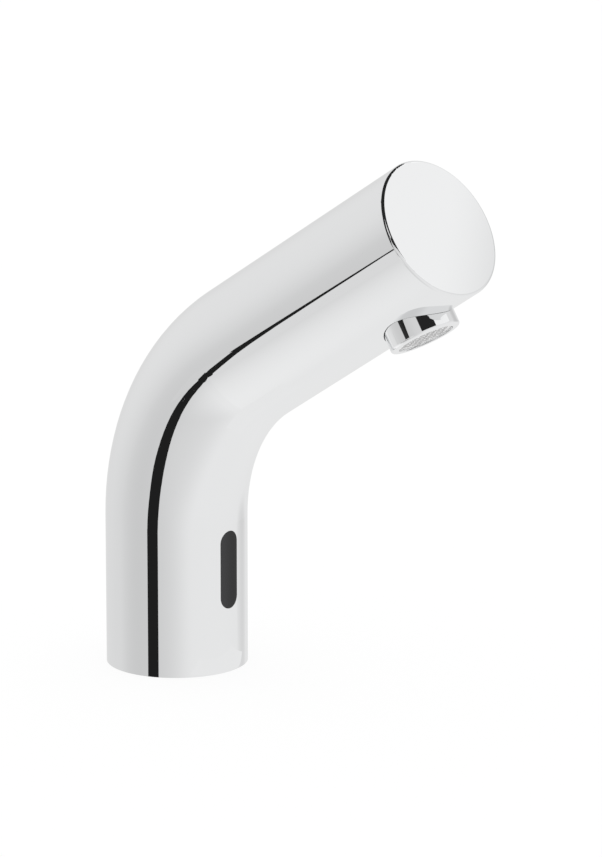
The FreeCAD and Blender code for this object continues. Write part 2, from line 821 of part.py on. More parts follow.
def radial_hole(radius, inner_y, height):
    """A tool for a hole that comes in from behind, at a height, as deep as inner_y."""
    return Part.makeCylinder(radius, body_radius + 1 - inner_y, V(0, inner_y, height), Y_AXIS)


def make_threaded_shank():
    """Hollow shank that is screwed into the block and goes through the deck."""
    return ring(shank_radius - shank_wall, shank_radius, shank_bottom, recess_top)


def valve_screw_places():
    """Axes of the two screws that hold the valve down on the base block."""
    return [V(side * valve_screw_side, valve_screw_back, 0) for side in (-1, 1)]


def make_valve_screws():
    """Two cylinder-head screws from below, as separate solids in one group."""
    head_high = recess_top + valve_screw_head_height
    screws = []
    for place in valve_screw_places():
        head = cylinder(valve_screw_head / 2, recess_top, head_high, place)
        stem = cylinder(valve_screw_diameter / 2, head_high, block_top + valve_screw_depth, place)
        socket = hexagon(lock_screw_socket, recess_top - 1, recess_top + valve_screw_head_height / 2, place)
        screws.append(head.fuse(stem).cut(socket))
    return Part.makeCompound(screws)


def make_base_gasket():
    """Rubber ring under the base block, flush with the body's lower edge on the deck."""
    return ring(shank_radius + gasket_inner_gap, block_radius - gasket_outer_gap, 0, base_gasket)


def make_lead_gland():
    """Rubber bush in the base block, where the supply lead leaves downwards."""
    stem = cylinder(lead_hole / 2 - gland_play, recess_top, block_top, gland_place)
    flange = cylinder(lead_hole / 2 + gland_flange_side, block_top, block_top + gland_flange, gland_place)
    bore = cylinder(gland_bore / 2, recess_top - 1, block_top + gland_flange + 1, gland_place)
    return stem.fuse(flange).cut(bore)


def make_lock_screw():
    """Grub screw at the back of the foot that locks the body to the base block."""
    screw = cylinder(lock_screw_diameter / 2, 0, lock_screw_length)
    screw = screw.cut(hexagon(lock_screw_socket, -1, lock_screw_length / 2))
    outer_end = V(0, body_radius - lock_screw_recess, lock_screw_height)
    return tapped(screw, FreeCAD.Placement(outer_end, facing_forward))


def make_fixing_rubber():
    """Rubber washer that bears on the deck from below."""
    return ring(shank_radius + fixing_washer_play, fixing_washer_diameter / 2, rubber_bottom, -deck_gap)


def make_fixing_washer():
    """Steel washer between rubber and nut."""
    return ring(shank_radius + fixing_washer_play, fixing_washer_diameter / 2, steel_bottom, rubber_bottom)


def make_fixing_nut():
    """Hexagon nut on the shank, with turned chamfers on its corners."""
    low = nut_bottom
    high = steel_bottom
    corner = nut_across_flats * hexagon_corner
    flat = nut_across_flats / 2
    slope = (corner - flat) * nut_chamfer_slope
    profile = [(0, low), (flat, low), (corner, low + slope), (corner, high - slope), (flat, high), (0, high)]
    nut = hexagon(nut_across_flats, low, high).common(revolved(profile))
    return nut.cut(cylinder(shank_radius + thread_play, low - 1, high + 1))


# ---- inlet: strainer and check valve ----
def make_inlet_strainer():
    """Slotted cone that catches grit above the supply hose."""
    rim = strainer_bore / 2 - cage_play
    tip = rim / 2
    wall = strainer_wall
    low = inlet_thread_top + strainer_shoulder_gap
    rim_low = block_top - strainer_rim
    profile = [
        (0, low), (tip, low), (rim - wall, rim_low), (rim, rim_low),
        (rim, block_top), (rim - 2 * wall, block_top), (tip - wall, low + wall), (0, low + wall),
    ]
    slot = box(tip - 2 * wall, rim + 1, -strainer_slot / 2, strainer_slot / 2, low + 2 * wall, rim_low - wall)
    slots = []
    for i in range(strainer_slots):
        turned = slot.copy()
        turned.rotate(V(0, 0, 0), Z_AXIS, 360 * i / strainer_slots)
        slots.append(turned)
    cone = revolved(profile).cut(slots)
    cone.translate(valve_axis)
    return cone


def make_check_cage():
    """Cartridge with the check valve's seat below and a bridge that guides the stem above."""
    outer = check_bore / 2 - cage_play
    stem_hole = poppet_stem / 2 + stem_play
    side = stem_hole + cage_bridge_side
    bridge = box(-outer, outer, valve_back - side, valve_back + side, cage_top - cage_bridge, cage_top)
    room = cylinder(outer - cage_wall, check_seat, cage_top + 1, valve_axis).cut(bridge)
    inlet = cylinder(cage_hole / 2, block_top - 1, check_seat + 1, valve_axis)
    guide = cylinder(stem_hole, check_seat, cage_top + 1, valve_axis)
    return cylinder(outer, block_top, cage_top, valve_axis).cut([room, inlet, guide])


def make_check_poppet():
    """Mushroom that lifts off its seat with the flow."""
    disc = cylinder(poppet_diameter / 2, check_seat, check_seat + poppet_thickness, valve_axis)
    return disc.fuse(cylinder(poppet_stem / 2, check_seat, check_stem_top, valve_axis))


def make_check_spring():
    """Spring that closes the check valve."""
    low = check_seat + poppet_thickness
    high = cage_top - cage_bridge
    radius = poppet_stem / 2 + check_spring_gap + check_spring_wire / 2
    return coil_spring(radius, check_spring_wire, low, high, check_spring_turns, valve_axis)


# ---- solenoid valve ----
def make_valve_block():
    """Valve body: check valve bore, drilled passages, annular chamber, seat and the riser for the tube."""
    foot = cylinder(valve_diameter / 2, block_top, valve_shoulder, valve_axis)
    neck = cylinder(neck_diameter / 2, valve_shoulder, seat_height, valve_axis)
    riser = cylinder(riser_radius, bridge_bottom, seat_height, riser_axis)
    span = riser_axis - valve_axis
    bridge = box(0, span.Length, -bridge_width / 2, bridge_width / 2, bridge_bottom, bridge_top)
    bridge.rotate(V(0, 0, 0), Z_AXIS, math.degrees(math.atan2(span.y, span.x)))
    bridge.translate(valve_axis)
    passages = inlet_passages() + outlet_passages(span)
    return foot.fuse([neck, riser, bridge]).cut(passages + valve_screw_holes())


def inlet_passages():
    """Check valve chamber, the drilling out of its side, the drilling up, and the ring round the seat."""
    annulus_low = seat_height - annulus_depth
    upright = valve_axis - V(annulus_middle, 0, 0)
    return [
        cylinder(check_bore / 2, block_top - 1, check_chamber_top, valve_axis),
        Part.makeCylinder(inlet_drill / 2, annulus_middle, upright + V(0, 0, inlet_drill_height), X_AXIS),
        cylinder(inlet_drill / 2, inlet_drill_height, annulus_low + 1, upright),
        ring(seat_ring / 2, annulus_diameter / 2, annulus_low, seat_height + 1, valve_axis),
    ]


def outlet_passages(span):
    """Bore under the seat, the drilling across to the riser, and the tube's seat in the riser."""
    half_groove = tube_groove_width / 2
    crossing = valve_axis + V(0, 0, outlet_drill_height)
    groove_low = riser_oring_height - half_groove
    groove_high = riser_oring_height + half_groove
    return [
        cylinder(seat_bore / 2, outlet_drill_height, seat_height + 1, valve_axis),
        Part.makeCylinder(outlet_drill / 2, span.Length, crossing, V(span).normalize()),
        cylinder(outlet_drill / 2, outlet_drill_height, seat_height, riser_axis),
        cylinder(tube_radius + tube_play, seat_height - tube_inserted_valve, seat_height + 1, riser_axis),
        cylinder(tube_groove_radius, groove_low, groove_high, riser_axis),
    ]


def valve_screw_holes():
    """Tapped holes in the valve's foot."""
    radius = valve_screw_diameter / 2 + thread_play
    top = block_top + valve_screw_depth
    return [cylinder(radius, block_top - 1, top, place) for place in valve_screw_places()]


def make_face_oring():
    """Face seal between the base block and the valve."""
    middle = block_top - face_oring_section / 2
    return torus(face_oring_section, face_oring_radius, valve_axis + V(0, 0, middle))


def make_diaphragm():
    """Rubber membrane clamped at its rim, flat on the seat when closed."""
    hub_radius = seat_bore / 2 - hub_gap
    outer = neck_diameter / 2 - membrane_edge_gap
    return ring(hub_radius + hub_play, outer, seat_height, membrane_top, valve_axis)


def make_diaphragm_insert():
    """Stiff centre of the diaphragm, with the pilot hole that the plunger closes."""
    plate = cylinder(seat_ring / 2 + insert_plate_overlap, membrane_top, insert_top, valve_axis)
    hub = cylinder(seat_bore / 2 - hub_gap, seat_height - hub_drop, membrane_top, valve_axis)
    pilot = cylinder(pilot_hole / 2, seat_height - hub_drop - 1, insert_top + 1, valve_axis)
    return plate.fuse(hub).cut(pilot)


def make_bonnet():
    """Screwed cap that clamps the diaphragm and carries the guide tube."""
    outer = valve_diameter / 2
    chamber = annulus_diameter / 2
    skirt_bore = neck_diameter / 2 + thread_play
    profile = [
        (skirt_bore, valve_shoulder + bonnet_skirt_gap), (outer, valve_shoulder + bonnet_skirt_gap),
        (outer, bonnet_top - bonnet_chamfer), (outer - bonnet_chamfer, bonnet_top),
        (guide_outer + thread_play, bonnet_top), (guide_outer + thread_play, chamber_roof),
        (chamber, chamber_roof), (chamber, membrane_top), (skirt_bore, membrane_top),
    ]
    return revolved(profile, valve_axis)


def make_guide_tube():
    """Stainless tube that guides the plunger, held by a flange under the bonnet's roof."""
    low = chamber_roof - guide_flange
    flange_radius = guide_outer + guide_flange_reach
    profile = [
        (guide_radius, low), (flange_radius, low), (flange_radius, chamber_roof),
        (guide_outer, chamber_roof), (guide_outer, guide_top), (guide_radius, guide_top),
    ]
    return revolved(profile, valve_axis)


def make_plunger():
    """Magnetic plunger with a spring pocket above and a seat for its seal below."""
    radius = plunger_diameter / 2
    body = cylinder(radius, plunger_bottom, plunger_top, valve_axis)
    pocket = cylinder(plunger_spring_pocket / 2, pocket_floor, plunger_top + 1, valve_axis)
    seal_top = plunger_bottom + plunger_seal_depth
    seat = cylinder(plunger_seal_diameter / 2, plunger_bottom - 1, seal_top, valve_axis)
    sides = [valve_axis + V(side * radius, 0, 0) for side in (-1, 1)]
    flutes = [cylinder(plunger_flute, plunger_bottom - 1, plunger_top + 1, side) for side in sides]
    return body.cut([pocket, seat] + flutes)


def make_plunger_seal():
    """Rubber button that closes the pilot hole."""
    return cylinder(plunger_seal_diameter / 2, insert_top, plunger_bottom + plunger_seal_depth, valve_axis)


def make_plunger_spring():
    """Return spring between the plunger and the pole."""
    wire = plunger_spring_wire
    radius = plunger_spring_pocket / 2 - plunger_spring_play - wire / 2
    return coil_spring(radius, wire, pocket_floor, pole_bottom, plunger_spring_turns, valve_axis)


def make_pole():
    """Fixed pole that closes the top of the guide tube."""
    return cylinder(guide_radius - pole_play, pole_bottom, guide_top - pole_recess, valve_axis)


def make_bobbin():
    """Coil former with two flanges and the lead's terminal block."""
    tube = ring(bobbin_bore, bobbin_core, bobbin_bottom, bobbin_top, valve_axis)
    low_flange = ring(bobbin_bore, bobbin_radius, bobbin_bottom, bobbin_bottom + bobbin_flange, valve_axis)
    high_flange = ring(bobbin_bore, bobbin_radius, bobbin_top - bobbin_flange, bobbin_top, valve_axis)
    terminal = box(
        -terminal_width / 2, terminal_width / 2, terminal_front, valve_back - winding_outer - winding_play,
        bobbin_top - terminal_height, bobbin_top,
    )
    return tube.fuse([low_flange, high_flange, terminal])


def make_winding():
    """The copper winding between the bobbin's flanges."""
    low = bobbin_bottom + bobbin_flange + winding_play
    high = bobbin_top - bobbin_flange - winding_play
    return ring(winding_inner, winding_outer, low, high, valve_axis)


def make_yoke():
    """Steel frame round the coil: two plates joined behind it."""
    half = yoke_width / 2
    inner = valve_back + bobbin_radius + yoke_gap
    outer = inner + yoke_plate
    front = valve_back - yoke_reach
    top = bobbin_top + yoke_plate
    plates = [box(-half, half, front, outer, z, z + yoke_plate) for z in (bonnet_top, bobbin_top)]
    wall = box(-half, half, inner, outer, bonnet_top, top)
    hole = cylinder(bobbin_bore, bonnet_top - 1, top + 1, valve_axis)
    return wall.fuse(plates).cut(hole)


def make_coil_nut():
    """Nut on the guide tube that holds the coil down."""
    nut = hexagon(coil_nut_across, coil_nut_bottom, coil_nut_bottom + coil_nut_height, valve_axis)
    return nut.cut(cylinder(guide_outer + thread_play, coil_nut_bottom - 1, guide_top + 1, valve_axis))


PIECES = {
    "spout_body": make_spout_body,
    "end_cap": make_end_cap,
    "end_cap_oring": make_end_cap_oring,
    "sensor_window": make_sensor_window,
    "window_gasket": make_window_gasket,
    "sensor_housing": make_sensor_housing,
    "sensor_back_cover": make_sensor_back_cover,
    "sensor_board": make_sensor_board,
    "ir_emitter": lambda: make_eye(window_centre + eye_spacing / 2),
    "ir_receiver": lambda: make_eye(window_centre - eye_spacing / 2),
    "sensor_clip": make_sensor_clip,
    "coil_lead": make_coil_lead,
    "aerator_housing": make_aerator_housing,
    "aerator_insert": make_aerator_insert,
    "aerator_screen": make_aerator_screen,
    "aerator_washer": make_aerator_washer,
    "spout_tube": make_spout_tube,
    "spout_tube_orings": make_tube_orings,
    "base_block": make_base_block,
    "threaded_shank": make_threaded_shank,
    "valve_screws": make_valve_screws,
    "base_gasket": make_base_gasket,
    "lead_gland": make_lead_gland,
    "body_lock_screw": make_lock_screw,
    "fixing_rubber_washer": make_fixing_rubber,
    "fixing_steel_washer": make_fixing_washer,
    "fixing_nut": make_fixing_nut,
    "inlet_strainer": make_inlet_strainer,
    "check_valve_cage": make_check_cage,
    "check_valve_poppet": make_check_poppet,
    "check_valve_spring": make_check_spring,
    "valve_block": make_valve_block,
    "valve_face_oring": make_face_oring,
    "diaphragm": make_diaphragm,
    "diaphragm_insert": make_diaphragm_insert,
    "valve_bonnet": make_bonnet,
    "plunger_guide_tube": make_guide_tube,
    "plunger": make_plunger,
    "plunger_seal": make_plunger_seal,
    "plunger_spring": make_plunger_spring,
    "magnet_pole": make_pole,
    "coil_bobbin": make_bobbin,
    "coil_winding": make_winding,
    "coil_yoke": make_yoke,
    "coil_nut": make_coil_nut,
}


def main():
    os.makedirs("parts", exist_ok=True)
    for name, make in PIECES.items():
        shape = make()
        solids = shape.Solids
        sound = shape.isValid() and all(s.isClosed() for s in solids)
        print(f"{name:24s} solids {len(solids)} volume {shape.Volume:10.1f} {'ok' if sound else 'NOT SOUND'}")
        shape.exportStep(f"parts/{name}.step")


main()
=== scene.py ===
"""Looks for a chrome sensor tap: materials, white studio, floor and the photograph's camera.

Everything is in metres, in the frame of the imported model: +Z up, the spout points along -Y.
Directions are (azimuth, elevation) in degrees; azimuth 0 is -Y and 90 is +X.
"""
import bpy
import json
import math
from mathutils import Matrix, Vector


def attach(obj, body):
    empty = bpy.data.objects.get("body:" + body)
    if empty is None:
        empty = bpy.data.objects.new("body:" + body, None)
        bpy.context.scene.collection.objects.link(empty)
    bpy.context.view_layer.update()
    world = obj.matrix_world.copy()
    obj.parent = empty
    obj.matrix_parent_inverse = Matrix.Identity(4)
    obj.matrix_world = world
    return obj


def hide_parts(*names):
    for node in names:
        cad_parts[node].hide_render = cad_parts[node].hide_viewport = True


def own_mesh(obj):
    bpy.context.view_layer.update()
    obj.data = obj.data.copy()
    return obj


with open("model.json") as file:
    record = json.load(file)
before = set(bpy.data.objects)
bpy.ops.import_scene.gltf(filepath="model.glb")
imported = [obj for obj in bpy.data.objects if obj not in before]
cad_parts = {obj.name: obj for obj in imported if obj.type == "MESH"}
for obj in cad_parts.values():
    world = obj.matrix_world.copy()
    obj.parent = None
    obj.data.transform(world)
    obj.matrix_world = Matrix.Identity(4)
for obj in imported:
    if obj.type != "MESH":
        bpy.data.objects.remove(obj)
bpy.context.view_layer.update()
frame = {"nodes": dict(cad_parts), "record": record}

# ---- camera, as fitted to the photograph ----
IMAGE_WIDTH = 602
IMAGE_HEIGHT = 857
SENSOR = 36.0                      # millimetres along the image's long side
CAMERA_AZIMUTH = -48.808
CAMERA_ELEVATION = 13.365
CAMERA_DISTANCE = 1.7248
FOCAL_PIXELS = 4997.35
TARGET = Vector((0.0, -0.04, 0.085))
TARGET_RIGHT = 0.013688            # the picture's middle, right of the target
TARGET_UP = 0.004781               # and above it

# ---- studio world; a brightness of 1 is white ----
FILL_LEVEL = 0.92                  # light that falls on everything that isn't a mirror
TENT_LEVEL = 0.90                  # white tent round the tap, seen in the chrome
SHADES = (                         # broad dark areas of the tent: centre, reach and depth
    ((-88, -35), 62, 0.14),
    ((-175, 35), 60, -0.17),
    ((-163, 60), 149, 0.24),
    ((85, 0), 24, 0.2),
)
BOXES = (                          # bright boxes: centre, radius, softness and gain
    ((-152, -50), 24, 13, 0.18),
    ((34, 55), 32.5, 0.6, 0.21),
    ((88, 38), 18, 3, 0.22),
)
SLOT_SIDES = (-111.5, -100)        # narrow black slot on the left: its azimuths
SLOT_ENDS = (-9, 9)                # and elevations
SLOT_LEVEL = 0.03
EDGE_SOFTNESS = 0.01               # of the slot, as a share of the sky's radius

# ---- far black openings of the tent, each on an upright plane ----
GAP_OUTER = (                      # curved gap that the chrome shows as its dark line: outer edge
    (-78, -11.5), (-78.5, -20.5), (-83.5, -28.5), (-93.5, -33.5), (-107, -34.5), (-119.5, -32),
    (-124.5, -28.5), (-126, -24.5), (-127.5, -20), (-127.5, -19), (-123.5, -21),
)
GAP_INNER = (                      # and its inner edge
    (-96.5, -11.5), (-96, -16), (-97.5, -20.5), (-103, -24), (-110.5, -26), (-121.5, -25.5),
    (-124, -25), (-125, -22.5), (-123.5, -22),
)
GAP_X = -20.0                      # metres
GAP_LEVEL = 0.015
STEPS = 12                         # points between two corners of the gap's outline
BAND = (                           # band high in front, for the dark patch on the collar
    (-60.5, 24), (-60.5, 30.5), (-50, 34.5), (-40, 38), (-30, 41), (-20, 43), (-4, 44),
    (-4, 37), (-20, 32), (-30, 31), (-40, 30), (-50, 27),
)
BAND_Y = -20.0                     # metres
BAND_LEVEL = 0.02

# ---- sheets near the tap: axis across the plane, place and outline in millimetres, brightness ----
SHEETS = (
    # below the dark line along the arm
    ("x", -120, ((23.5, 46), (24.5, 50.5), (21.5, 58), (16.5, 68.5), (10.5, 75.5), (-1.5, 85.5),
                 (-53, 118), (-72, 118), (-72, 90), (-40, 76.5), (-3, 56.5), (8, 48), (12, 42),
                 (23, 42.5)), 0.78),
    # left of the dark line in the bend
    ("x", -120, ((33, 58), (32, 64.5), (28.5, 71), (24, 79), (34, 80), (46, 74), (46, 60), (38, 56)), 0.70),
    # white and black, for the edge of the end cap
    ("x", -120, ((-142, 140), (-142, 100), (-120, 95), (-84, 92), (-84, 116), (-95, 126), (-115, 135)), 0.83),
    ("x", -120, ((-62, 150), (-62, 250), (-210, 250), (-210, 216), (-136, 216), (-136, 184), (-120, 184),
                 (-105, 166), (-98, 142), (-70, 142)), 0.02),
    ("z", 250, ((-165, -150), (-165, -60), (58, -60), (58, -238), (-47, -238), (-47, -150)), 0.02),
    # on the deck, so that the spout's underside doesn't mirror the nut below
    ("z", -0.5, ((-18, -46), (28, -46), (28, -25.6), (-18, -25.6)), 0.905),
)

# ---- floor ----
FLOOR_REACH = 20.0
FLOOR_DROP = 0.0001                # so that it doesn't share a plane with the foot
FLOOR_COLOUR = 0.16
FLOOR_GLOW = 0.86

# ---- lens: smoke colour, with a painted reflection that darkens it to black towards the right ----
LENS_HALF_WIDTH = 0.0044
LENS_SMOKE_WITH_PAINTED_LIGHT_LEFT = (0.036, 0.036, 0.038, 1)
LENS_PAINTED_DARK_REFLECTION_RIGHT = (0.0, 0.0, 0.0, 1)


def direction(azimuth, elevation):
    """Unit vector of a direction in degrees."""
    a = math.radians(azimuth)
    e = math.radians(elevation)
    return Vector((math.sin(a) * math.cos(e), -math.cos(a) * math.cos(e), math.sin(e)))


# ---- camera ----
def make_camera():
    """The photograph's camera, with its long side upright."""
    back = direction(CAMERA_AZIMUTH, CAMERA_ELEVATION)
    right = direction(CAMERA_AZIMUTH + 90, 0)
    up = back.cross(right)
    data = bpy.data.cameras.new("camera")
    data.sensor_fit = "AUTO"
    data.sensor_width = SENSOR
    data.lens = FOCAL_PIXELS * SENSOR / max(IMAGE_WIDTH, IMAGE_HEIGHT)
    data.clip_start = 0.01
    data.clip_end = 100
    camera = bpy.data.objects.new("camera", data)
    bpy.context.scene.collection.objects.link(camera)
    middle = TARGET + right * TARGET_RIGHT + up * TARGET_UP
    turn = Matrix((right, up, back)).transposed().to_4x4()
    camera.matrix_world = Matrix.Translation(middle + back * CAMERA_DISTANCE) @ turn
    bpy.context.scene.camera = camera


# ---- node helpers ----
class Nodes:
    """Short calls for building a node tree."""

    def __init__(self, tree):
        self.tree = tree
        tree.nodes.clear()

    def add(self, kind, **settings):
        node = self.tree.nodes.new(kind)
        for name, value in settings.items():
            setattr(node, name, value)
        return node

    def put(self, value, socket):
        """Sets a socket to a number, a colour or another socket."""
        if isinstance(value, bpy.types.NodeSocket):
            self.tree.links.new(value, socket)
        else:
            socket.default_value = value

    def math(self, operation, a, b):
        node = self.add("ShaderNodeMath", operation=operation)
        self.put(a, node.inputs[0])
        self.put(b, node.inputs[1])
        return node.outputs[0]

    def dot(self, vector, constant):
        node = self.add("ShaderNodeVectorMath", operation="DOT_PRODUCT")
        self.put(vector, node.inputs[0])
        node.inputs[1].default_value = constant
        return node.outputs["Value"]

    def ramp(self, value, low, high, out_low=0.0, out_high=1.0):
        """Rises smoothly from out_low to out_high as the value goes from low to high."""
        node = self.add("ShaderNodeMapRange", interpolation_type="SMOOTHSTEP")
        self.put(value, node.inputs["Value"])
        node.inputs["From Min"].default_value = low
        node.inputs["From Max"].default_value = high
        node.inputs["To Min"].default_value = out_low
        node.inputs["To Max"].default_value = out_high
        return node.outputs["Result"]

    def noise(self, scale, detail, roughness=0.5):
        node = self.add("ShaderNodeTexNoise")
        self.put(self.add("ShaderNodeTexCoord").outputs["Object"], node.inputs["Vector"])
        node.inputs["Scale"].default_value = scale
        node.inputs["Detail"].default_value = detail
        node.inputs["Roughness"].default_value = roughness
        return node.outputs["Fac"]

    def blend(self, factor, a, b):
        """Colour a at 0 and colour b at 1."""
        node = self.add("ShaderNodeMix", data_type="RGBA")
        self.put(factor, node.inputs["Factor"])
        self.put(a, node.inputs[6])
        self.put(b, node.inputs[7])
        return node.outputs[2]

    def choose(self, factor, a, b):
        """Number a at 0 and number b at 1."""
        node = self.add("ShaderNodeMix", data_type="FLOAT")
        self.put(factor, node.inputs["Factor"])
        self.put(a, node.inputs[2])
        self.put(b, node.inputs[3])
        return node.outputs[0]

    def bump(self, height, strength, distance):
        node = self.add("ShaderNodeBump")
        node.inputs["Strength"].default_value = strength
        node.inputs["Distance"].default_value = distance
        self.put(height, node.inputs["Height"])
        return node.outputs["Normal"]

    def finish(self, kind, shader):
        """Ends the tree with its output node."""
        output = self.add(kind)
        self.put(shader, output.inputs["Surface"])


# ---- studio ----
def cone(nodes, heading, centre, radius, softness):
    """1 inside a round patch of the sky and 0 outside it, with a soft edge."""
    closeness = nodes.dot(heading, direction(*centre))
    low = math.cos(math.radians(min(radius + softness, 180)))
    high = math.cos(math.radians(max(radius - softness, 0)))
    return nodes.ramp(closeness, low, high)


def above(nodes, heading, normal, height):
    """1 on the side of a plane that its normal points to."""
    closeness = nodes.dot(heading, direction(*normal))
    return nodes.ramp(closeness, height - EDGE_SOFTNESS, height + EDGE_SOFTNESS)


def slot(nodes, heading):
    """1 in a narrow upright slot of the tent."""
    left, right = SLOT_SIDES
    low, high = SLOT_ENDS
    inside = above(nodes, heading, (left + 90, 0), 0)
    for normal, height in (
        ((right - 90, 0), 0),
        ((0, 90), math.sin(math.radians(low))),
        ((0, -90), -math.sin(math.radians(high))),
    ):
        inside = nodes.math("MULTIPLY", inside, above(nodes, heading, normal, height))
    return inside


def make_world():
    """White tent with soft shades, bright boxes and a black slot, all seen by mirrors only."""
    world = bpy.data.worlds.new("studio")
    bpy.context.scene.world = world
    world.use_nodes = True
    nodes = Nodes(world.node_tree)
    heading = nodes.add("ShaderNodeTexCoord").outputs["Generated"]
    tent = TENT_LEVEL
    for centre, reach, depth in SHADES:
        shade = nodes.math("MULTIPLY", cone(nodes, heading, centre, 0, reach), depth)
        tent = nodes.math("SUBTRACT", tent, shade)
    for centre, radius, softness, gain in BOXES:
        light = nodes.math("MULTIPLY", cone(nodes, heading, centre, radius, softness), gain)
        tent = nodes.math("ADD", tent, light)
    tent = nodes.choose(slot(nodes, heading), tent, SLOT_LEVEL)
    rays = nodes.add("ShaderNodeLightPath")
    seen_white = nodes.math("MULTIPLY", rays.outputs["Is Camera Ray"], 1.0 - FILL_LEVEL)
    fill = nodes.math("ADD", FILL_LEVEL, seen_white)
    background = nodes.add("ShaderNodeBackground")
    background.inputs["Color"].default_value = (1, 1, 1, 1)
    nodes.put(nodes.choose(rays.outputs["Is Glossy Ray"], fill, tent), background.inputs["Strength"])
    nodes.finish("ShaderNodeOutputWorld", background.outputs[0])


def curve_through(points, steps):
    """A smooth line of points that passes through the given ones."""
    line = []
    ends = [points[0] * 2 - points[1]] + points + [points[-1] * 2 - points[-2]]
    for a, b, c, d in zip(ends, ends[1:], ends[2:], ends[3:]):
        for i in range(steps):
            t = i / steps
            line.append(
                b + (c - a) * (t / 2) + (a * 2 - b * 5 + c * 4 - d) * (t * t / 2)
                + (b * 3 - a - c * 3 + d) * (t * t * t / 2)
            )
    return line + [points[-1]]


def on_plane(headings, axis, place):
    """Where directions from the middle of the frame meet a plane across an axis."""
    rays = [direction(*heading) for heading in headings]
    return [ray * (place / ray["xyz".index(axis)]) for ray in rays]


def seen_in_mirrors(name, corners, level):
    """A flat-lit sheet of the studio that only mirrors see."""
    mesh = bpy.data.meshes.new(name)
    mesh.from_pydata(corners, [], [tuple(range(len(corners)))])
    sheet = bpy.data.objects.new(name, mesh)
    bpy.context.scene.collection.objects.link(sheet)
    for kind in ("camera", "diffuse", "transmission", "volume_scatter", "shadow"):
        setattr(sheet, "visible_" + kind, False)
    material = bpy.data.materials.new(name)
    material.use_nodes = True
    nodes = Nodes(material.node_tree)
    glow = nodes.add("ShaderNodeEmission")
    glow.inputs["Strength"].default_value = level
    nodes.finish("ShaderNodeOutputMaterial", glow.outputs[0])
    mesh.materials.append(material)


def make_openings():
    """The tent's curved gap on the left and its band in front, both far away."""
    outer, inner = (curve_through(on_plane(edge, "x", GAP_X), STEPS) for edge in (GAP_OUTER, GAP_INNER))
    seen_in_mirrors("gap", outer + inner[::-1], GAP_LEVEL)
    seen_in_mirrors("band", on_plane(BAND, "y", BAND_Y), BAND_LEVEL)


def make_sheets():
    """White and black sheets near the tap."""
    for axis, place, outline, level in SHEETS:
        corners = []
        for corner in outline:
            point = list(corner)
            point.insert("xyz".index(axis), place)
            corners.append(Vector(point) / 1000)
        seen_in_mirrors("sheet", corners, level)


def make_floor():
    """Pale deck, a hair below the tap's foot. Mirrors see the tent instead of it."""
    mesh = bpy.data.meshes.new("floor")
    quarters = ((-1, -1), (1, -1), (1, 1), (-1, 1))
    corners = [(FLOOR_REACH * x, FLOOR_REACH * y, -FLOOR_DROP) for x, y in quarters]
    mesh.from_pydata(corners, [], [(0, 1, 2, 3)])
    floor = bpy.data.objects.new("floor", mesh)
    bpy.context.scene.collection.objects.link(floor)
    floor.visible_glossy = False
    material = bpy.data.materials.new("floor")
    material.use_nodes = True
    nodes = Nodes(material.node_tree)
    shade = nodes.add("ShaderNodeBsdfDiffuse")
    shade.inputs["Color"].default_value = (*grained(FLOOR_COLOUR), 1)
    glow = nodes.add("ShaderNodeEmission")
    glow.inputs["Strength"].default_value = FLOOR_GLOW
    both = nodes.add("ShaderNodeAddShader")
    nodes.put(shade.outputs[0], both.inputs[0])
    nodes.put(glow.outputs[0], both.inputs[1])
    nodes.finish("ShaderNodeOutputMaterial", both.outputs[0])
    mesh.materials.append(material)


# ---- materials ----
def grained(value, warm=1.0, cool=1.0):
    """A grey, with a slight cast where its red or blue is set apart."""
    return (value * warm, value, value * cool)


def principled(name, colour, metallic):
    """A material with one Principled shader, and its node helper."""
    material = bpy.data.materials.new(name)
    material.use_nodes = True
    nodes = Nodes(material.node_tree)
    shader = nodes.add("ShaderNodeBsdfPrincipled")
    shader.inputs["Metallic"].default_value = metallic
    shader.inputs["Base Color"].default_value = colour
    nodes.finish("ShaderNodeOutputMaterial", shader.outputs[0])
    return material, nodes, shader


def polished_chrome():
    """Bright plated metal, with a faint change of polish over a few centimetres."""
    material, nodes, shader = principled("polished_chrome", (0.87, 0.875, 0.88, 1), 1.0)
    nodes.put(nodes.ramp(nodes.noise(45, 4), 0.3, 0.7, 0.008, 0.022), shader.inputs["Roughness"])
    return material


def dark_lens():
    """Smoked infrared-clear plastic, glossy in front, with a painted reflection: its colour darkens to black
    towards the right.
    """
    material, nodes, shader = principled("dark_lens", LENS_SMOKE_WITH_PAINTED_LIGHT_LEFT, 0.0)
    shader.inputs["IOR"].default_value = 1.34
    place = nodes.add("ShaderNodeTexCoord").outputs["Object"]
    # painted reflection: the colour goes from the smoke's tint on the left to black on the right, across the
    # lens's width
    across = nodes.ramp(nodes.dot(place, (1, 0, 0)), -LENS_HALF_WIDTH, LENS_HALF_WIDTH)
    nodes.put(nodes.blend(across, LENS_SMOKE_WITH_PAINTED_LIGHT_LEFT, LENS_PAINTED_DARK_REFLECTION_RIGHT), shader.inputs["Base Color"])
    nodes.put(nodes.ramp(nodes.noise(120, 3), 0.3, 0.7, 0.04, 0.09), shader.inputs["Roughness"])
    return material


def plain(name, dark, light, metallic, rough_low, rough_high, scale, bump, distance):
    """A surface with a fine grain: its colour, polish and height follow one noise."""
    material, nodes, shader = principled(name, (*dark, 1), metallic)
    grain = nodes.noise(scale, 5, 0.6)
    nodes.put(nodes.blend(nodes.ramp(grain, 0.3, 0.7), (*dark, 1), (*light, 1)), shader.inputs["Base Color"])
    nodes.put(nodes.ramp(grain, 0.3, 0.7, rough_low, rough_high), shader.inputs["Roughness"])
    nodes.put(nodes.bump(grain, bump, distance), shader.inputs["Normal"])
    return material


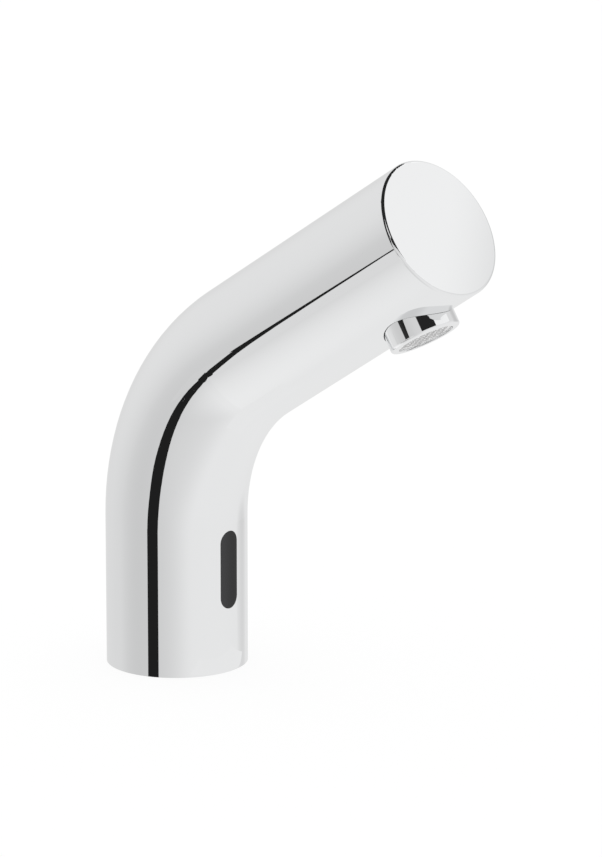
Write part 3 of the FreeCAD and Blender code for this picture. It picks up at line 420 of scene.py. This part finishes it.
# slot: dark and light colour, metallic, least and most roughness, grain's scale, bump and depth
PLAIN = {
    "black_rubber": (grained(0.012), grained(0.025), 0.0, 0.55, 0.8, 900, 0.3, 0.0003),
    "grey_silicone": (grained(0.22), grained(0.28), 0.0, 0.4, 0.6, 700, 0.15, 0.0002),
    "black_plastic": (grained(0.015), grained(0.024), 0.0, 0.35, 0.5, 1200, 0.2, 0.0001),
    "circuit_board": ((0.01, 0.09, 0.03), (0.015, 0.14, 0.05), 0.0, 0.3, 0.45, 600, 0.1, 0.0001),
    "clear_resin": ((0.55, 0.6, 0.62), (0.62, 0.68, 0.7), 0.0, 0.08, 0.14, 300, 0.02, 0.0001),
    "dark_resin": ((0.02, 0.012, 0.025), (0.03, 0.018, 0.04), 0.0, 0.08, 0.14, 300, 0.02, 0.0001),
    "spring_steel": (grained(0.5), grained(0.6), 1.0, 0.2, 0.32, 800, 0.05, 0.0001),
    "stainless_steel": (
        grained(0.52, cool=0.98), grained(0.62, cool=0.98), 1.0, 0.22, 0.38, 500, 0.05, 0.0001,
    ),
    "zinc_plated_steel": (
        grained(0.46, 0.98, 1.05), grained(0.62, 0.98, 1.05), 1.0, 0.28, 0.45, 260, 0.08, 0.0002,
    ),
    "bare_brass": ((0.55, 0.39, 0.16), (0.68, 0.5, 0.22), 1.0, 0.22, 0.38, 350, 0.06, 0.0001),
    "grey_plastic": (grained(0.72), grained(0.8), 0.0, 0.4, 0.55, 900, 0.12, 0.0001),
    "white_plastic": (grained(0.68), grained(0.76), 0.0, 0.35, 0.5, 900, 0.1, 0.0001),
    "blue_plastic": ((0.02, 0.08, 0.28), (0.03, 0.12, 0.36), 0.0, 0.35, 0.5, 900, 0.1, 0.0001),
    "bobbin_plastic": (grained(0.03), grained(0.05), 0.0, 0.4, 0.55, 900, 0.15, 0.0001),
    "copper_wire": ((0.5, 0.2, 0.09), (0.68, 0.3, 0.14), 1.0, 0.2, 0.35, 1500, 0.2, 0.0001),
    "grey_jacket": (grained(0.3), grained(0.36), 0.0, 0.5, 0.65, 900, 0.12, 0.0001),
}


def make_materials():
    """Every material, by the record's slot name."""
    made = {"polished_chrome": polished_chrome(), "dark_lens": dark_lens()}
    for name, values in PLAIN.items():
        made[name] = plain(name, *values)
    return made


# ---- the tap ----
def dress(slots, materials):
    """Gives each CAD node the material of its slot."""
    for name, slot_name in slots.items():
        mesh = frame["nodes"][name].data
        mesh.materials.clear()
        mesh.materials.append(materials[slot_name])


def make_spring(name, material):
    """Stands for a CAD spring: a copy of its mesh with the given material, attached to the tap's body in
    place of the hidden CAD node.
    """
    node = frame["nodes"][name]
    spring = bpy.data.objects.new(name + "_pressed", node.data.copy())
    bpy.context.scene.collection.objects.link(spring)
    spring.matrix_world = node.matrix_world
    spring.data.materials.clear()
    spring.data.materials.append(material)
    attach(spring, "tap")
    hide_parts(name)
    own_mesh(spring)


def make_springs(slots, materials):
    """The springs inside the valves. The rubber diaphragm, also listed, stays a CAD node."""
    for joint in frame["record"]["behaviour"]["joints"]:
        for listed in joint.get("deforming_nodes", []):
            name = listed["node"]
            if name.endswith("spring"):
                make_spring(name, materials[slots[name]])


slots = {part["node"]: part["material_slot"] for part in frame["record"]["subparts"]}
make_camera()
make_world()
make_floor()
make_openings()
make_sheets()
materials = make_materials()
dress(slots, materials)
make_springs(slots, materials)

bpy.context.scene.view_settings.view_transform = "Standard"
